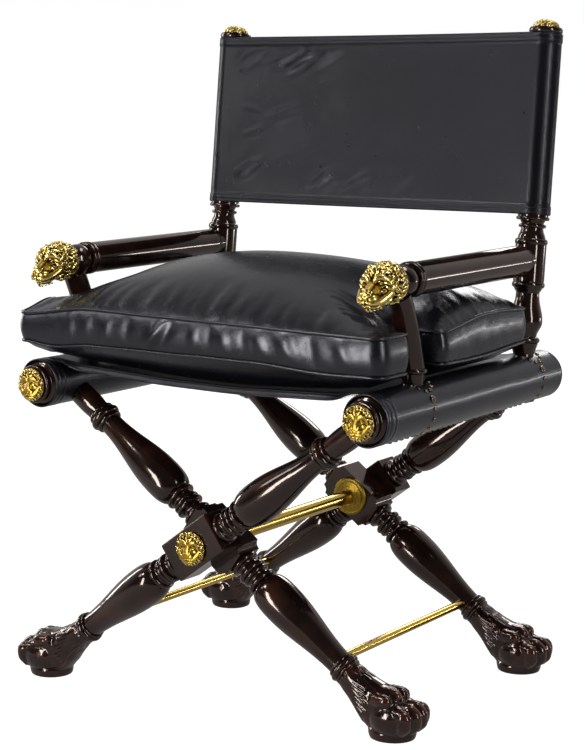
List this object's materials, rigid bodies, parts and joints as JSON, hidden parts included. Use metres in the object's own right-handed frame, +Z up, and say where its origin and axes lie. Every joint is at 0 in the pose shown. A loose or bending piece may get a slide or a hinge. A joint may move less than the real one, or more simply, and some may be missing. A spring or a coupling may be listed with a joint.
{
  "type": "folding X-frame armchair",
  "caption": "Folding X-frame armchair with crossed turned legs on lion-paw feet, leather sling seat and back, lion-head arms and a loose leather cushion.",
  "frame": {"origin": "on the floor, under the middle of the chair's bounding box", "axes": "+Z up, +Y from the front of the seat to its back, +X to the right as seen from the front"},
  "size_m": [0.662, 0.527, 0.9532],
  "materials": {
    "ebonised_wood": "near-black ebonised wood with a red-brown glow, satin polish",
    "black_leather": "black sling leather, soft sheen, double stitched hems",
    "cushion_leather": "charcoal-black soft cushion leather, piped seams",
    "gilt_bronze": "cast gilt bronze, soft satin with darker hollows",
    "polished_brass": "polished brass rod",
    "bronze_nail": "dark bronze nail heads",
    "steel_pin": "plain steel pin, hidden in the rail",
    "cushion_filling": "soft down and feather filling, hidden in the cover"
  },
  "bodies": {
    "pair_inner": {"leg_inner_front": "ebonised_wood", "leg_inner_rear": "ebonised_wood", "paw_inner_front": "ebonised_wood", "paw_inner_rear": "ebonised_wood", "stretcher_inner": "polished_brass"},
    "pair_outer": {"leg_outer_front": "ebonised_wood", "leg_outer_rear": "ebonised_wood", "paw_outer_front": "ebonised_wood", "paw_outer_rear": "ebonised_wood", "stretcher_outer": "polished_brass", "cross_bolt": "polished_brass", "bolt_rosettes": "gilt_bronze", "bolt_cap_front": "gilt_bronze", "bolt_cap_rear": "gilt_bronze"},
    "left_side": {"rail_left": "ebonised_wood", "rail_leather_left": "black_leather", "rail_nails_left": "bronze_nail", "hinge_pins_left": "steel_pin", "rail_medallion_left": "gilt_bronze", "rail_end_cap_left": "ebonised_wood", "front_post_left": "ebonised_wood", "rear_post_left": "ebonised_wood", "arm_left": "ebonised_wood", "lion_head_left": "gilt_bronze", "post_cap_left": "ebonised_wood", "finial_left": "gilt_bronze", "back_sleeve_left": "black_leather", "seat_panel": "black_leather", "back_panel": "black_leather", "cushion_cover": "cushion_leather", "cushion_fill": "cushion_filling"},
    "right_side": {"rail_right": "ebonised_wood", "rail_leather_right": "black_leather", "rail_nails_right": "bronze_nail", "hinge_pins_right": "steel_pin", "rail_medallion_right": "gilt_bronze", "rail_end_cap_right": "ebonised_wood", "front_post_right": "ebonised_wood", "rear_post_right": "ebonised_wood", "arm_right": "ebonised_wood", "lion_head_right": "gilt_bronze", "post_cap_right": "ebonised_wood", "finial_right": "gilt_bronze", "back_sleeve_right": "black_leather"}
  },
  "joints": [
    {"name": "fold", "type": "hinge", "parent": "left_side", "child": "pair_inner", "pos_m": [-0.28, 0, 0.433], "axis": [0, 1, 0], "range_deg": [0, 42], "deforming": ["seat_panel", "back_panel", "cushion_cover", "cushion_fill"]},
    {"name": "cross", "type": "hinge", "parent": "pair_inner", "child": "pair_outer", "pos_m": [0, 0, 0.23], "axis": [0, 1, 0], "range_deg": [-84, 0]},
    {"name": "level_right", "type": "hinge", "parent": "pair_outer", "child": "right_side", "pos_m": [0.28, 0, 0.433], "axis": [0, 1, 0], "range_deg": [0, 42]}
  ],
  "couplings": [
    {"joint": "cross", "follows": "fold", "ratio": -2},
    {"joint": "level_right", "follows": "fold", "ratio": 1}
  ]
}
